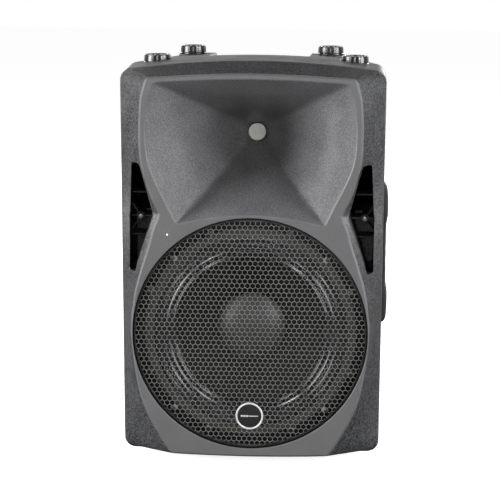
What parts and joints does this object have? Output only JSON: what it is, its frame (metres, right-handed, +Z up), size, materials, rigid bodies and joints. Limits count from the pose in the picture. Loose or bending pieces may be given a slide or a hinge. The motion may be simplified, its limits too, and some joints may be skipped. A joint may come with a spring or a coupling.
{
  "type": "pa speaker cabinet",
  "caption": "Two-way active loudspeaker in a moulded trapezoid enclosure: square horn over a grilled cone driver, side ports, bar handles and a rear amplifier panel.",
  "frame": {"origin": "on the floor, under the middle of the cabinet's bounding box", "axes": "+Z up, the horn and grille face -Y, +X to the right seen from the front"},
  "size_m": [0.377, 0.37, 0.5588],
  "materials": {
    "face_plastic": "satin grained moulding",
    "shell_plastic": "grained moulding",
    "black_plastic": "matt",
    "rubber": "semi-gloss",
    "grille_paint": "satin powder coat",
    "black_steel": "satin black",
    "zinc_steel": "zinc plated",
    "silver": "polished",
    "badge_black": "gloss",
    "led_white": "diffused lens",
    "cone_paper": "coated black paper",
    "surround_rubber": "semi-gloss",
    "ferrite": "matt",
    "amber_former": "satin",
    "spider_cloth": "woven",
    "black_aluminium": "fine texture coat",
    "board_green": "solder mask",
    "tape_yellow": "film",
    "red_plastic": "satin",
    "wire_red": "satin",
    "marking_white": "printed"
  },
  "bodies": {
    "cabinet": {"front_baffle": "face_plastic", "horn_flare": "face_plastic", "rear_shell": "shell_plastic", "shell_seal": "rubber", "port_duct_left": "black_plastic", "port_duct_right": "black_plastic", "port_screw_left": "zinc_steel", "port_screw_right": "zinc_steel", "grille": "grille_paint", "badge": "silver", "power_led": "led_white", "woofer_frame": "black_steel", "woofer_gasket": "rubber", "top_plate": "zinc_steel", "magnet": "ferrite", "pole_piece": "zinc_steel", "woofer_terminals": "red_plastic", "throat_screen": "silver", "driver_body": "black_steel", "driver_cover": "black_plastic", "amp_panel": "black_aluminium", "heatsink": "black_aluminium", "amp_board": "board_green", "toroid": "tape_yellow", "toroid_clamp": "zinc_steel", "potentiometers": "zinc_steel", "input_socket": "black_plastic", "link_socket": "black_plastic", "line_jacks": "black_plastic", "switch_frame": "black_plastic", "selector_frame": "black_plastic", "mains_inlet": "black_plastic", "top_grip": "rubber", "side_handle_left": "rubber", "side_handle_right": "rubber", "pole_socket": "black_plastic", "woofer_cable": "wire_red", "driver_cable": "wire_red", "top_foot_front_left": "rubber", "foot_front_left": "rubber", "top_foot_front_right": "rubber", "foot_front_right": "rubber", "top_foot_rear_left": "rubber", "foot_rear_left": "rubber", "top_foot_rear_right": "rubber", "foot_rear_right": "rubber"},
    "cone_assembly": {"woofer_cone": "cone_paper", "dust_cap": "cone_paper", "voice_coil": "amber_former", "woofer_surround": "surround_rubber", "spider": "spider_cloth"},
    "mic_control": {"knob_mic": "black_plastic"},
    "line_control": {"knob_line": "black_plastic"},
    "bass_control": {"knob_bass": "black_plastic"},
    "treble_control": {"knob_treble": "black_plastic"},
    "mode_button": {"push_button": "black_plastic"},
    "power_rocker": {"switch_rocker": "red_plastic"},
    "voltage_slider": {"selector_slider": "red_plastic"},
    "fuse_holder": {"fuse_drawer": "black_plastic"},
    "input_latch": {"socket_latch": "zinc_steel"}
  },
  "joints": [
    {"name": "cone_travel", "type": "slide", "parent": "cabinet", "child": "cone_assembly", "axis": [0, -1, 0], "range_m": [-0.005, 0.005], "stiffness_N_per_m": 2600, "deforming": ["woofer_surround", "spider"]},
    {"name": "mic_turn", "type": "hinge", "parent": "cabinet", "child": "mic_control", "pos_m": [-0.066, 0.179, 0.308], "axis": [0, 1, 0], "range_deg": [-150, 150]},
    {"name": "line_turn", "type": "hinge", "parent": "cabinet", "child": "line_control", "pos_m": [-0.022, 0.179, 0.308], "axis": [0, 1, 0], "range_deg": [-150, 150]},
    {"name": "bass_turn", "type": "hinge", "parent": "cabinet", "child": "bass_control", "pos_m": [0.022, 0.179, 0.308], "axis": [0, 1, 0], "range_deg": [-150, 150]},
    {"name": "treble_turn", "type": "hinge", "parent": "cabinet", "child": "treble_control", "pos_m": [0.066, 0.179, 0.308], "axis": [0, 1, 0], "range_deg": [-150, 150]},
    {"name": "button_press", "type": "slide", "parent": "cabinet", "child": "mode_button", "axis": [0, -1, 0], "range_m": [0, 0.0025], "stiffness_N_per_m": 300},
    {"name": "power_rock", "type": "hinge", "parent": "cabinet", "child": "power_rocker", "pos_m": [0, 0.168, 0.19], "axis": [1, 0, 0], "range_deg": [0, 20]},
    {"name": "voltage_slide", "type": "slide", "parent": "cabinet", "child": "voltage_slider", "axis": [1, 0, 0], "range_m": [0, 0.0048]},
    {"name": "fuse_slide", "type": "slide", "parent": "cabinet", "child": "fuse_holder", "axis": [0, 1, 0], "range_m": [0, 0.022]},
    {"name": "latch_press", "type": "slide", "parent": "cabinet", "child": "input_latch", "axis": [0, -1, 0], "range_m": [0, 0.002], "stiffness_N_per_m": 400}
  ]
}
